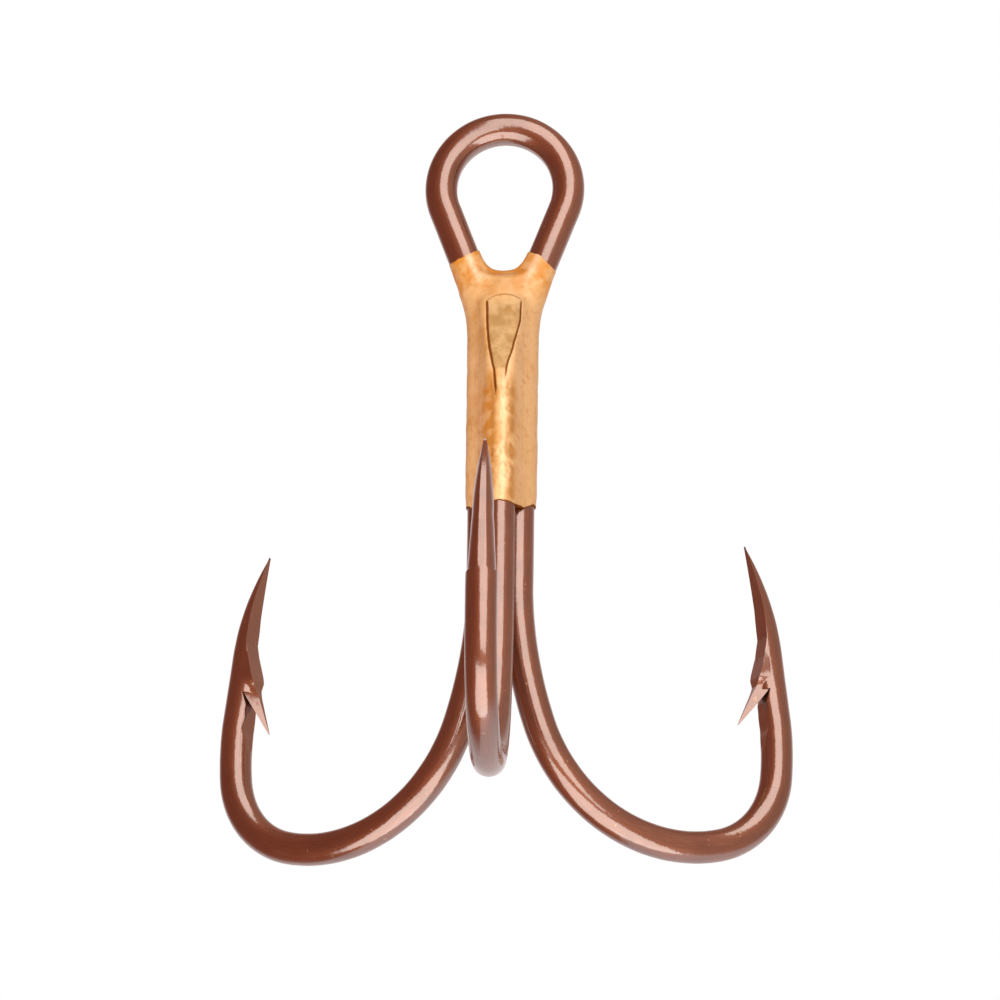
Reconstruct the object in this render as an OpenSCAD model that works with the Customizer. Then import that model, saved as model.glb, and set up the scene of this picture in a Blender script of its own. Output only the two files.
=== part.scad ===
// Treble hook: two wires brazed together, with three barbed hooks around one shank.
// Millimetres. The origin is the centre of the eye's crown, +Z runs up the shank with the
// eye on top, and the single hook points towards -Y.

/* [Wire] */
// Diameter of the hook wire
wire_d = 1.4; // [1.3:0.05:1.5]
// Gap between the two rear shanks, filled by the braze
pair_gap = 0.1; // [0.06:0.02:0.2]
// Gap between the single shank and each rear shank
front_gap = 0.03; // [0.02:0.01:0.08]

/* [Eye] */
// Inner diameter of the eye's round crown
eye_d = 4.1; // [3.8:0.1:4.8]
// Lean of each eye leg from the vertical, in degrees
eye_lean = 21; // [17:1:24]
// Radius of the curve from each eye leg into its shank
neck_r = 8; // [6:0.5:10]
// Depth of the land that the bending mandrel leaves inside the crown
land_depth = 0.02; // [0.01:0.005:0.03]

/* [Hook] */
// Height from the eye's centre down to the start of the flare
shank_l = 18.1; // [16:0.1:20]
// Radius of the gentle flare away from the shank
flare_r = 17.1; // [14:0.2:19]
// Angle turned by the flare, in degrees
flare_a = 21; // [18:1:24]
// Radius of the main bend
bend_r = 7; // [6:0.05:8]
// Angle turned by the main bend, in degrees
bend_a = 88; // [80:1:92]
// Radius of the tighter heel of the bend
heel_r = 4; // [3.4:0.05:4.4]
// Angle turned by the heel, in degrees
heel_a = 67; // [64:1:70]
// Radius of the slow curve between heel and point leg
leg_r = 12; // [9:0.5:15]
// Angle turned by that slow curve, in degrees
leg_a = 12; // [8:1:14]
// Straight length of the point leg
leg_l = 3; // [2.8:0.1:3.6]

/* [Point] */
// Radius of the curve that turns the tip in towards the shank
claw_r = 9.6; // [9:0.1:10.4]
// Angle of that curve, in degrees
claw_a = 27.5; // [26:0.5:29]
// Distance of the ground inner face from the leg's centre line
grind_x = 0.12; // [0.06:0.02:0.2]
// Length of the ground inner face, down from the tip
grind_l = 4; // [3.5:0.1:4.4]
// Width of the point at the foot of its rounded taper
point_w = 0.94; // [0.8:0.02:1.1]
// Length of the point's rounded taper
point_l = 3.9; // [3.4:0.1:4.5]
// Width left at the very tip
tip_w = 0.06; // [0.04:0.01:0.1]
// Reach of the barb's tip beyond the wire's inner side
barb_reach = 1.15; // [0.8:0.05:1.4]
// Length of the barb from its shoulder to its tip
barb_l = 2.4; // [2:0.1:2.8]
// Width of the barb at its root
barb_w = 0.86; // [0.7:0.02:1]
// Distance of the barb's shoulder below the tip of the point
shoulder_drop = 5.8; // [5.4:0.1:6.2]

/* [Spade head] */
// Height of the single wire's upper end, below the eye's centre
head_drop = 5.3; // [4.8:0.1:5.8]
// Length of the flat cut at half the wire's thickness
head_flat_l = 1.05; // [0.8:0.05:1.3]
// Length of the curved ramp below the flat
head_ramp_l = 2.7; // [2.2:0.1:3.2]
// How much shorter the single hook's point leg is
front_short = 1; // [0:0.05:1.2]

/* [Braze] */
// Thickness of the braze coat on the wires
coat = 0.07; // [0.04:0.01:0.1]
// Height of the coat's upper edge, below the eye's centre
braze_top = 3.3; // [3:0.1:3.8]
// Height of the coat's lower edge, below the eye's centre
braze_foot = 14.8; // [13:0.1:15.5]
// Radius of the rounded web in the throat of the eye
throat_r = 1.08; // [0.9:0.02:1.2]
// Height of the web's lowest point, below the eye's centre
throat_drop = 3.8; // [3.6:0.05:4]
// Thickness of the fillets between neighbouring wires
fillet_t = 0.9; // [0.7:0.05:1.1]

/* [Hidden] */
$fn = 64;
// Longer than any cut has to reach
big = 20;
rw = wire_d / 2;
eye_r = eye_d / 2 + rw;
land_r = eye_d / 2 + land_depth;
pair_x = (wire_d + pair_gap) / 2;
front_y = -sqrt(pow(wire_d + front_gap, 2) - pow(pair_x, 2));
// Straight length of each eye leg, and the height at which its shank has turned vertical
eye_leg_l = (eye_r * cos(eye_lean) - pair_x - neck_r * (1 - cos(eye_lean))) / sin(eye_lean);
neck_z = -eye_r * sin(eye_lean) - eye_leg_l * cos(eye_lean) - neck_r * sin(eye_lean);
// How far each ball stands proud of the wire, and how far the lengths stop short inside it
ball_proud = 0.004;
slit = 0.01;
// The point, in the frame of its leg: x inwards from the centre line, z towards the tip
tip_x = claw_r - (claw_r + rw) * cos(claw_a);
tip_z = leg_l + (claw_r + rw) * sin(claw_a);
shoulder_z = tip_z - shoulder_drop;
shoulder_l = 0.7;
// The barb's free tip, and the root of the cut behind it
barb_x = rw + barb_reach;
barb_z = shoulder_z - barb_l;
root_x = rw * 0.45;
root_z = shoulder_z - barb_l * 0.23;
// The flat that the cut leaves on the leg, and its run-out towards the heel
flat_x = rw * 0.78;
flat_l = 1.8;
run_out_l = 1.8;

// Points along an arc of a circle, from one angle to another
function arc_points(centre, radius, from, to, steps) =
    [for (i = [0 : steps]) let (a = from + (to - from) * i / steps)
        centre + radius * [cos(a), sin(a)]];

// --- Wire, laid end to end: +Z runs along the wire and bends turn towards +X ---

// Each length starts with a ball that is a hair thicker than the wire. The lengths stop a
// hair short inside it, so that no two end faces meet and the wire fuses into one solid.
module ball(d) {
    sphere(d = d + 2 * ball_proud);
}

module straight(length, d = wire_d) {
    ball(d);
    translate([0, 0, slit]) cylinder(h = length - 2 * slit, d = d);
    translate([0, 0, length]) children();
}

module bend(radius, angle, d = wire_d) {
    slit_a = slit / radius * 180 / PI;
    ball(d);
    translate([radius, 0, 0])
        rotate([90, 0, 0])
            rotate_extrude(start = 180 - angle + slit_a, angle = angle - 2 * slit_a)
                translate([radius, 0]) circle(d = d);
    past_bend(radius, angle) children();
}

// Moves to the far end of a bend without drawing the bend
module past_bend(radius, angle) {
    translate([radius * (1 - cos(angle)), 0, radius * sin(angle)])
        rotate([0, angle, 0]) children();
}

// --- Point and barb, in the frame of the leg ---

// Side view of what the grinding takes off the inner side, hollow and then up to the shoulder
module ground_side() {
    polygon([
        [tip_x, tip_z],
        [tip_x * 0.55 + grind_x * 0.45, tip_z - grind_l * 0.35],
        [grind_x, tip_z - grind_l * 0.7],
        [grind_x, tip_z - grind_l],
        [rw, shoulder_z + shoulder_l],
        [big / 4, shoulder_z + shoulder_l],
        [big / 4, tip_z + 1],
        [tip_x - 1, tip_z + 1]
    ]);
}

// Side view of the notch behind the barb, with the flat that runs on towards the heel
module notch_side() {
    polygon([
        [root_x, root_z],
        [flat_x, root_z - 0.7 * flat_l],
        [flat_x, root_z - flat_l],
        [rw + 0.3, root_z - flat_l - run_out_l],
        [big / 4, root_z - flat_l - run_out_l],
        [big / 4, root_z]
    ]);
}

// Side view of the sliver that is raised to make the barb
module barb_side() {
    polygon([
        [root_x, root_z],
        [root_x, shoulder_z + shoulder_l - 0.1],
        [rw - 0.12, shoulder_z + shoulder_l - 0.1],
        [rw + 0.14, shoulder_z],
        [rw + barb_reach * 0.52, shoulder_z - barb_l * 0.5],
        [barb_x, barb_z],
        [rw + barb_reach * 0.3, barb_z + barb_l * 0.36]
    ]);
}

// Front view of the point: a long gentle taper that ends in a rounded one
module point_front(shorter) {
    half = point_w / 2;
    half_tip = tip_w / 2;
    sag = half - half_tip;
    taper_r = (pow(point_l, 2) + pow(sag, 2)) / (2 * sag);
    foot_z = tip_z - point_l;
    side = arc_points([half - taper_r, foot_z], taper_r, 0, asin(point_l / taper_r), 8);
    right = concat([[rw + 0.02, shorter - 0.5]], side);
    left = [for (i = [len(right) - 1 : -1 : 0]) [-right[i][0], right[i][1]]];
    polygon(concat(right, left));
}

// Front view of the barb, narrowing to its tip
module barb_front() {
    half = barb_w / 2;
    half_tip = tip_w / 2;
    top = shoulder_z + shoulder_l;
    waist = shoulder_z - barb_l * 0.25;
    polygon([
        [half, top], [half, waist], [half_tip, barb_z],
        [-half_tip, barb_z], [-half, waist], [-half, top]
    ]);
}

// Extrude a side view across the hook, or a front view through it
module side_prism(depth) {
    rotate([90, 0, 0]) linear_extrude(depth, center = true) children();
}

module front_prism(depth) {
    rotate([90, 0, 90]) linear_extrude(depth, center = true) children();
}

// The point leg, with its profiles lowered by the same amount as the leg is shortened
module point_leg(shorter) {
    difference() {
        intersection() {
            straight(leg_l - shorter) bend(claw_r, claw_a);
            lowered(shorter) front_prism(big / 2) point_front(shorter);
        }
        lowered(shorter) side_prism(2 * wire_d) ground_side();
        lowered(shorter) side_prism(2 * wire_d) notch_side();
    }
    lowered(shorter)
        intersection() {
            side_prism(2 * wire_d) barb_side();
            front_prism(big / 2) barb_front();
        }
}

// Moves down the leg, away from the tip
module lowered(distance) {
    translate([0, 0, -distance]) children();
}

// Moves from the end of the main bend to the start of the point leg
module past_heel() {
    past_bend(heel_r, heel_a) past_bend(leg_r, leg_a) children();
}

// Everything from the flare to the tip
module hook_bend(shorter = 0) {
    bend(flare_r, flare_a)
        bend(bend_r, bend_a) {
            difference() {
                bend(heel_r, heel_a) bend(leg_r, leg_a);
                past_heel() lowered(shorter) side_prism(2 * wire_d) notch_side();
            }
            past_heel() point_leg(shorter);
        }
}

// --- The double hook ---

// Moves to the end of the crown, where the right-hand eye leg starts
module to_eye_leg() {
    translate([eye_r * cos(eye_lean), 0, -eye_r * sin(eye_lean)])
        rotate([0, 180 + eye_lean, 0]) rotate([0, 0, 180]) children();
}

module crown() {
    slit_a = slit / eye_r * 180 / PI;
    rotate([90, 0, 0])
        rotate_extrude(start = slit_a - eye_lean, angle = 180 + 2 * (eye_lean - slit_a))
            translate([eye_r, 0]) circle(d = wire_d);
}

// From the right-hand eye leg to its tip; each rear hook turns 30 degrees back from the eye
module rear_shank() {
    to_eye_leg()
        straight(eye_leg_l)
            bend(neck_r, eye_lean)
                straight(shank_l + neck_z)
                    rotate([0, 0, -30]) hook_bend();
}

// What the mandrel presses out of the inside of the crown
module eye_land() {
    rotate([90, 0, 0]) cylinder(r = land_r, h = rw, center = true);
}

module double_hook() {
    color([0.45, 0.27, 0.2])
        difference() {
            union() {
                crown();
                rear_shank();
                mirror([1, 0, 0]) rear_shank();
            }
            eye_land();
        }
}

// --- The single hook ---

// Side view of what is pressed and ground away to leave the spade head
module spade_side() {
    ramp_r = (pow(head_ramp_l, 2) + pow(rw, 2)) / (2 * rw);
    top = 1 - head_drop;
    ramp_top = -head_drop - head_flat_l;
    ramp = arc_points([rw - ramp_r, ramp_top - head_ramp_l], ramp_r, 0,
        asin(head_ramp_l / ramp_r), 8);
    polygon(concat(ramp, [
        [0, -head_drop], [-wire_d, -head_drop], [-wire_d, top],
        [wire_d, top], [wire_d, ramp_top - head_ramp_l]
    ]));
}

module single_hook() {
    color([0.5, 0.3, 0.21])
        translate([0, front_y, 0])
            difference() {
                translate([0, 0, -head_drop])
                    rotate([180, 0, -90]) straight(shank_l - head_drop) hook_bend(front_short);
                rotate([90, 0, -90]) linear_extrude(2 * wire_d, center = true) spade_side();
            }
}

// --- The braze ---

// A flat web of braze between two shanks
module fillet(from, to, height) {
    span = to - from;
    translate([from[0], from[1], -braze_foot])
        rotate([0, 0, atan2(span[1], span[0])])
            translate([0, -fillet_t / 2, 0]) cube([norm(span), fillet_t, height]);
}

// The coat on one eye leg and the shank below it
module half_coat() {
    coat_d = wire_d + 2 * coat;
    intersection() {
        to_eye_leg()
            straight(eye_leg_l, coat_d)
                bend(neck_r, eye_lean, coat_d)
                    straight(braze_foot + neck_z, coat_d);
        translate([0, -big / 2, -braze_foot]) cube([big, big, braze_foot - braze_top]);
    }
}

// The web between the two eye legs, rounded where a ring passes over it
module throat_web() {
    leg_x = eye_r * cos(eye_lean) - (throat_drop - eye_r * sin(eye_lean)) * tan(eye_lean);
    difference() {
        rotate([90, 0, 0])
            linear_extrude(fillet_t, center = true)
                polygon([
                    [-pair_x, neck_z], [pair_x, neck_z],
                    [leg_x, -throat_drop], [leg_x, -braze_top],
                    [-leg_x, -braze_top], [-leg_x, -throat_drop]
                ]);
        translate([0, 0, throat_r - throat_drop])
            rotate([90, 0, 0]) cylinder(r = throat_r, h = big, center = true);
    }
}

module braze_collar() {
    left = [-pair_x, 0];
    right = [pair_x, 0];
    front = [0, front_y];
    head_h = braze_foot - head_drop;
    color([0.83, 0.6, 0.26])
        difference() {
            union() {
                half_coat();
                mirror([1, 0, 0]) half_coat();
                throat_web();
                fillet(left, right, braze_foot + neck_z);
                fillet(left, front, head_h);
                fillet(right, front, head_h);
                translate([0, front_y, -braze_foot]) cylinder(h = head_h, d = wire_d + 2 * coat);
            }
            crown();
            rear_shank();
            mirror([1, 0, 0]) rear_shank();
            single_hook();
        }
}

double_hook();
single_hook();
braze_collar();
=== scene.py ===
"""Treble hook: two bronzed wires, the braze that joins them, a pale floor, soft light and a camera.

Shapes are worked out in millimetres and turned into metres when a mesh is made. The heights of
the pieces and the front wire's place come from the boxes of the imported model's nodes.
"""
import math
import bmesh
import bpy
import numpy as np
from mathutils import Matrix, Vector


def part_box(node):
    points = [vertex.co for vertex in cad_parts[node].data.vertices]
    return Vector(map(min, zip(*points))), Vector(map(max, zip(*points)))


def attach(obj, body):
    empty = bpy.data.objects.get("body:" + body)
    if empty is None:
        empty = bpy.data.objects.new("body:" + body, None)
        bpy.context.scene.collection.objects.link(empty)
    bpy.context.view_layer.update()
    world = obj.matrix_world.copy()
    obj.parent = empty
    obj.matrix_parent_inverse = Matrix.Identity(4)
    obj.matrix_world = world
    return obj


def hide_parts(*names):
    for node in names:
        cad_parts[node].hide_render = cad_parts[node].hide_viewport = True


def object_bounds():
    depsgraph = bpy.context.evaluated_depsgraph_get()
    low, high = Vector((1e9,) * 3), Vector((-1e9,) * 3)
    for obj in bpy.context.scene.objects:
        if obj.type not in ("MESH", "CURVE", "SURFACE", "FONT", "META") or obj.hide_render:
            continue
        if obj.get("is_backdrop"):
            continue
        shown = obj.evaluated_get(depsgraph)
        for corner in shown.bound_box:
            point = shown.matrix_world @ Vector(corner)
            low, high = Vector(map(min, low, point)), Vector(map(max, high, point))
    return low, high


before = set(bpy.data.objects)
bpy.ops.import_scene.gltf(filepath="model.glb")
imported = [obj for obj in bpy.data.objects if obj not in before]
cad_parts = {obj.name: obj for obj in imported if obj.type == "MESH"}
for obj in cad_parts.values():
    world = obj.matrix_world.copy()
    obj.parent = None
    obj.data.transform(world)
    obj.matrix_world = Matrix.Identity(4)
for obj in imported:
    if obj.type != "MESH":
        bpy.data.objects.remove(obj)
cad_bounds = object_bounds()

MM = 0.001


def box_mm(node):
    """A node's lowest and highest corners, in millimetres."""
    return [np.array(corner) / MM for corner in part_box(node)]


# --- Sizes in millimetres and degrees, as in the part's source, where their names are lower case ---
WIRE_D = 1.4
PAIR_GAP = 0.1
EYE_LEAN = 21
NECK_R = 8
LAND_DEPTH = 0.02
FLARE_R, FLARE_A = 17.1, 21
BEND_R, BEND_A = 7, 88
HEEL_R, HEEL_A = 4, 67
LEG_R, LEG_A = 12, 12
LEG_L = 3
CLAW_R, CLAW_A = 9.6, 27.5
GRIND_X, GRIND_L = 0.12, 4
POINT_W, POINT_L = 0.94, 3.9
BARB_REACH, BARB_L = 1.15, 2.4
SHOULDER_DROP = 5.8
HEAD_FLAT_L, HEAD_RAMP_L = 1.05, 2.7
FRONT_SHORT = 1
COAT = 0.07
THROAT_DROP = 3.8
FLAT_L = 1.8
RUN_OUT_L = 1.8

# --- Further sizes, for which the part's source has another name, another value or none ---
WIRE_R = WIRE_D / 2
HOOK_TURN = 30
TIP_W = 0.12
WEB_R = 1.22
HIDDEN_SHRINK, HIDDEN_SHORT = 0.3, 0.2
SHOULDER_MID_X, SHOULDER_MID_L = 0.39, 0.9
RECESS_L = 0.6
PRESSED = 0.035
BARB_SPRING = 0.15
RIGHT_BARB_SHORT = 0.3
RIGHT_POINT_LONG, LEFT_POINT_SHORT = 0.18, 0.2

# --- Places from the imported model's boxes ---
double_lo, double_hi = box_mm("double_hook")
single_lo, single_hi = box_mm("single_hook")
collar_lo, collar_hi = box_mm("braze_collar")
EYE_R = double_hi[2] - WIRE_R
PAIR_X = WIRE_R + PAIR_GAP / 2
FRONT_Y = single_hi[1] - WIRE_R
LEAN = math.radians(EYE_LEAN)
EYE_LEG_L = (EYE_R * math.cos(LEAN) - PAIR_X - NECK_R * (1 - math.cos(LEAN))) / math.sin(LEAN)
NECK_Z = -EYE_R * math.sin(LEAN) - EYE_LEG_L * math.cos(LEAN) - NECK_R * math.sin(LEAN)
HEAD_Z = single_hi[2]
BRAZE_TOP = collar_hi[2]
BRAZE_FOOT = collar_lo[2]

# --- The point, in the frame of its leg: x inwards from the centre line, z towards the tip ---
TIP_X = CLAW_R - (CLAW_R + WIRE_R) * math.cos(math.radians(CLAW_A))
TIP_Z = LEG_L + (CLAW_R + WIRE_R) * math.sin(math.radians(CLAW_A))
SHOULDER_Z = TIP_Z - SHOULDER_DROP
BARB_X = WIRE_R + BARB_REACH
ROOT_X = WIRE_R * 0.45
ROOT_Z = SHOULDER_Z - BARB_L * 0.23
FLAT_X = WIRE_R * 0.78
FLAT_Z = ROOT_Z - FLAT_L
RUN_OUT_Z = FLAT_Z - RUN_OUT_L

# --- How finely the meshes are made ---
STEP = 0.12
FINE_STEP = 0.06
COLUMNS = 72
FACE_COLUMNS = 16
SLIVER = 0.0006
FREE = 9.0  # a limit that cuts nothing
UP = np.array([0.0, 0.0, 1.0])


# ---------------------------- small tools

def smooth_step(low, high, value):
    """0 below low, 1 above high, and a smooth rise between."""
    t = np.clip((value - low) / (high - low), 0, 1)
    return t * t * (3 - 2 * t)


def split(points):
    """The x, the y and the z of points, each as an array."""
    return points[..., 0], points[..., 1], points[..., 2]


HASH_FACTORS = np.array([374761393, 668265263, 2147483647])
HASH_SEED_FACTOR = 1274126177


def hashed(cell, seed):
    """A repeatable value from 0 to 1 for each whole-numbered place."""
    mixed = (cell * HASH_FACTORS).sum(axis=-1) + seed * HASH_SEED_FACTOR
    mixed = (mixed ^ (mixed >> 13)) * HASH_SEED_FACTOR
    mixed = mixed ^ (mixed >> 16)
    return (mixed & 0xFFFF) / 0xFFFF


def noise(points, size, seed=0):
    """Smooth noise from -1 to 1, with features about this size."""
    scaled = np.asarray(points) / size
    cell = np.floor(scaled).astype(np.int64)
    part = scaled - cell
    part = part * part * (3 - 2 * part)
    total = 0
    for corner in np.ndindex(2, 2, 2):
        weight = np.prod(np.where(corner, part, 1 - part), axis=-1)
        total = total + weight * hashed(cell + np.array(corner), seed)
    return 2 * total - 1


def shade_smooth(mesh, sharp_degrees):
    """Smooth shading, with an edge left crisp where its faces turn by more than this."""
    mesh.shade_smooth()
    mesh.set_sharp_from_angle(angle=math.radians(sharp_degrees))


def new_object(name, data):
    """An object in the scene for this mesh, light or camera."""
    made = bpy.data.objects.new(name, data)
    bpy.context.scene.collection.objects.link(made)
    return made


# ---------------------------- wire: path and rings

def trace(heading, lengths):
    """Walks from (0, 0) along straights and bends, each (length, curvature).

    Returns the points, the headings in radians, and the distance walked."""
    spans, turns = [], []
    for length, curvature in lengths:
        count = max(2, round(length / STEP))
        spans += [length / count] * count
        turns += [curvature] * count
    spans, turns = np.array(spans), np.array(turns)
    headings = math.radians(heading) + np.concatenate([[0], np.cumsum(spans * turns)])
    middle = (headings[1:] + headings[:-1]) / 2
    chords = spans * np.sinc(spans * turns / 2 / np.pi)
    moves = chords[:, None] * np.column_stack([np.cos(middle), np.sin(middle)])
    points = np.concatenate([[(0, 0)], np.cumsum(moves, axis=0)])
    return points, headings, np.concatenate([[0], np.cumsum(spans)])


def arc(radius, degrees):
    """A bend as a length and a curvature; a negative angle turns to the right."""
    return radius * math.radians(abs(degrees)), math.copysign(1 / radius, degrees)


class Rings:
    """Rings of vertices along a wire: where each lies, which way it faces and what cuts it.

    normal points to the inside of the hook's bends. limit is how far the section may reach
    that way, floor how far the other way, width the half-width, and climb is the height of the
    ring above the foot of the claw's curve."""

    FIELDS = ("origin", "normal", "side", "limit", "floor", "width", "climb", "along")

    def __init__(self, origin, normal, side, along):
        count = len(origin)
        self.origin, self.normal, self.along = origin, normal, along
        self.side = np.broadcast_to(side, (count, 3))
        self.limit = np.full(count, FREE)
        self.floor = np.full(count, -FREE)
        self.width = np.full(count, FREE)
        self.climb = np.zeros(count)

    def join(self, other):
        """These rings followed by others, whose first ring is this one's last."""
        joined = Rings(self.origin, self.normal, self.side, self.along)
        for field in self.FIELDS:
            theirs = getattr(other, field)[1:]
            if field == "along":
                theirs = theirs + self.along[-1]
            setattr(joined, field, np.concatenate([getattr(self, field), theirs]))
        return joined


def in_plane(points, headings, along, start, across):
    """Rings on a path that lies in the upright plane through this level direction."""
    origin = start + points[:, :1] * across + points[:, 1:] * UP
    normal = -np.sin(headings)[:, None] * across + np.cos(headings)[:, None] * UP
    return Rings(origin, normal, np.cross(across, UP), along)


def side_profile(z):
    """How far the leg's inner side reaches, at heights in the leg's frame."""
    hollow_l = GRIND_L * 0.7
    hollow = np.clip((z - TIP_Z + hollow_l) / hollow_l, 0, 1) ** 1.35
    shoulder = np.interp(
        z,
        [SHOULDER_Z, SHOULDER_Z + SHOULDER_MID_L, TIP_Z - GRIND_L],
        [WIRE_R, SHOULDER_MID_X, GRIND_X])
    ground = shoulder + (TIP_X - GRIND_X) * hollow
    notch = np.interp(
        z,
        [RUN_OUT_Z, FLAT_Z, ROOT_Z - RECESS_L, ROOT_Z],
        [WIRE_R + 0.3, FLAT_X, FLAT_X, ROOT_X])
    tool_marks = 0.02 * np.sin(z * 7) * (z < ROOT_Z - RECESS_L)
    notch = notch + tool_marks
    in_notch = (z > RUN_OUT_Z) & (z < ROOT_Z)
    in_ground = z > SHOULDER_Z
    return np.where(in_notch, notch, np.where(in_ground, ground, FREE))


def front_profile(z):
    """The point's half-width, at heights in the leg's frame."""
    half, half_tip = POINT_W / 2, TIP_W / 2
    below_tip = np.clip((TIP_Z - z) / POINT_L, 0, 1)
    rounded = half_tip + (half - half_tip) * np.sin(below_tip * math.pi / 2)
    slow = np.interp(z, [-0.5, TIP_Z - POINT_L], [WIRE_R + 0.02, half])
    return np.where(z > TIP_Z - POINT_L, rounded, slow)


def leg_heights(bottom):
    """Heights of the rings up the point leg, finer at the cut behind the barb and at the tip."""
    cut_room, tip_l = 0.02, 0.3
    lower = np.arange(bottom, ROOT_Z - cut_room, FINE_STEP)
    cut = [ROOT_Z - 0.015, ROOT_Z + 0.001]
    upper = np.arange(ROOT_Z + cut_room, TIP_Z - tip_l, FINE_STEP)
    tip = TIP_Z - tip_l * (1 - np.linspace(0, 1, 9) ** 0.7)
    return np.concatenate([lower, cut, upper, tip[:-1], [TIP_Z - 0.006]])


def hook_lengths():
    """The bends of a hook, from the end of its shank to the foot of its point leg."""
    return [arc(FLARE_R, FLARE_A), arc(BEND_R, BEND_A), arc(HEEL_R, HEEL_A), arc(LEG_R, LEG_A)]


def hook_depth():
    """How far the wire's centre line drops below the end of the shank."""
    points, _, _ = trace(-90, hook_lengths())
    return -points[:, 1].min()


class LegFrame:
    """The frame of a point leg: where it starts, which way is inwards and which way is up it."""

    def __init__(self, shank, outward, shorter):
        points, headings, _ = trace(-90, hook_lengths())
        self.shorter = shorter
        self.start = shank + points[-1][0] * outward + points[-1][1] * UP
        self.inward = -math.sin(headings[-1]) * outward + math.cos(headings[-1]) * UP
        self.axis = math.cos(headings[-1]) * outward + math.sin(headings[-1]) * UP
        self.side = np.cross(self.axis, self.inward)

    def place(self, x, y, z):
        """Points in the model from x inwards, y across the hook and z up the leg."""
        lift = np.asarray(z) - self.shorter
        return (self.start + np.multiply.outer(x, self.inward) + np.multiply.outer(y, self.side)
                + np.multiply.outer(lift, self.axis))


def hook_rings(shank, outward, shorter):
    """Rings of one hook, from the end of its shank to the tip of its point."""
    leg = LegFrame(shank, outward, shorter)
    bends = in_plane(*trace(-90, hook_lengths()), shank, outward)
    from_leg = bends.origin - leg.start
    heights = from_leg @ leg.axis + shorter
    inwards = from_leg @ leg.inward
    near = (heights > RUN_OUT_Z - 0.2) & (inwards < 1)
    bends.limit = np.where(near, side_profile(heights) - inwards, FREE)
    return bends.join(point_rings(leg, shorter))


def point_rings(leg, shorter):
    """Rings of a point leg, ground and curved in at its top."""
    heights = leg_heights(shorter)
    count = len(heights)
    point = Rings(leg.place(np.zeros(count), np.zeros(count), heights),
                  np.tile(leg.inward, (count, 1)), leg.side, heights - shorter)
    point.limit = side_profile(heights)
    point.width = front_profile(heights)
    point.climb = np.clip(heights - LEG_L, 0, None)
    pressed = CLAW_R + WIRE_R - PRESSED * smooth_step(0, 2, heights)
    point.floor = CLAW_R - np.sqrt(pressed ** 2 - point.climb ** 2)
    return point


FACE_SHARE = FACE_COLUMNS / COLUMNS
COLUMN_PLACES = -1 + 2 * np.arange(COLUMNS) / COLUMNS
ROUND_CORNER = 30  # where the face's columns end on a ring that nothing cuts
BEVEL_TURN = 2.2


def corner_angles(rings):
    """The angle from the inner side, in degrees, at which each section meets its cut face."""
    reach = CLAW_R - np.sqrt((CLAW_R - np.clip(rings.limit, -FREE, WIRE_R)) ** 2 + rings.climb ** 2)
    cut = rings.limit < WIRE_R
    angle = np.degrees(np.arccos(np.clip(reach / WIRE_R, -1, 1)))
    angle = np.clip(angle, 10, 172)
    known = np.flatnonzero(cut)
    index = np.arange(len(cut))
    near = np.abs(index[:, None] - known).min(axis=1)
    filled = np.interp(index, known, angle[known])
    fade = smooth_step(0, 30, near)
    between = (index > known[0]) & (index < known[-1])
    return np.where(between, filled, filled * (1 - fade) + ROUND_CORNER * fade)


def ring_angles(corner):
    """Angles of a ring's vertices from its inner side, with vertices on both corners."""
    size = np.abs(COLUMN_PLACES)
    corner = corner[:, None]
    face = size / FACE_SHARE * corner
    rest = corner + (size - FACE_SHARE) / (1 - FACE_SHARE) * (180 - corner)
    angles = np.where(size <= FACE_SHARE, face, rest)
    before = np.isclose(size, FACE_SHARE - 2 / COLUMNS)
    angles = np.where(before, corner - BEVEL_TURN, angles)
    beyond = np.isclose(size, FACE_SHARE + 2 / COLUMNS)
    angles = np.where(beyond, corner + BEVEL_TURN, angles)
    return np.radians(np.sign(COLUMN_PLACES) * angles)


def ring_vertices(rings):
    """The vertices of every ring: a circle, or its slice in the claw, cut to its profiles."""
    corner = corner_angles(rings)
    angle = ring_angles(corner)
    reach = CLAW_R - WIRE_R * np.cos(angle)
    inward = CLAW_R - np.sqrt(np.clip(reach ** 2 - rings.climb[:, None] ** 2, 0, None))
    inward = np.clip(inward, rings.floor[:, None], rings.limit[:, None])
    widest = WIRE_R * np.sin(np.radians(np.maximum(corner, 90)))
    across = np.clip(WIRE_R * np.sin(angle), -widest[:, None], widest[:, None])
    across = across * np.minimum(1, rings.width / widest)[:, None]
    at_corner = np.isclose(np.abs(COLUMN_PLACES), FACE_SHARE)
    for offset in (inward, across):
        softened = (np.roll(offset, 1, axis=1) + 2 * offset + np.roll(offset, -1, axis=1)) / 4
        offset[:, at_corner] = softened[:, at_corner]
    return (rings.origin[:, None] + inward[..., None] * rings.normal[:, None]
            + across[..., None] * rings.side[:, None])


def add_waviness(vertices, centres):
    """Makes the drawn wire very slightly uneven."""
    away = vertices - centres[:, None]
    size = np.linalg.norm(away, axis=-1, keepdims=True)
    swell = 0.006 * noise(vertices, 1.7, 3) + 0.003 * noise(vertices, 0.5, 4)
    return vertices + away * (swell / np.maximum(size[..., 0], 0.05))[..., None] * (size > 0.3)


def tube_mesh(name, vertices, along):
    """A closed mesh round rings of vertices, with a UV map of millimetres along and round it."""
    rings, columns, _ = vertices.shape
    ends = np.array([vertices[0].mean(axis=0), vertices[-1].mean(axis=0)])
    points = np.concatenate([vertices.reshape(-1, 3), ends]) * MM
    mesh = bpy.data.meshes.new(name)
    mesh.from_pydata(points.tolist(), [], tube_faces(rings, columns))
    lay_uv(mesh, along, columns)
    make_outward(mesh)
    return mesh


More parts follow.
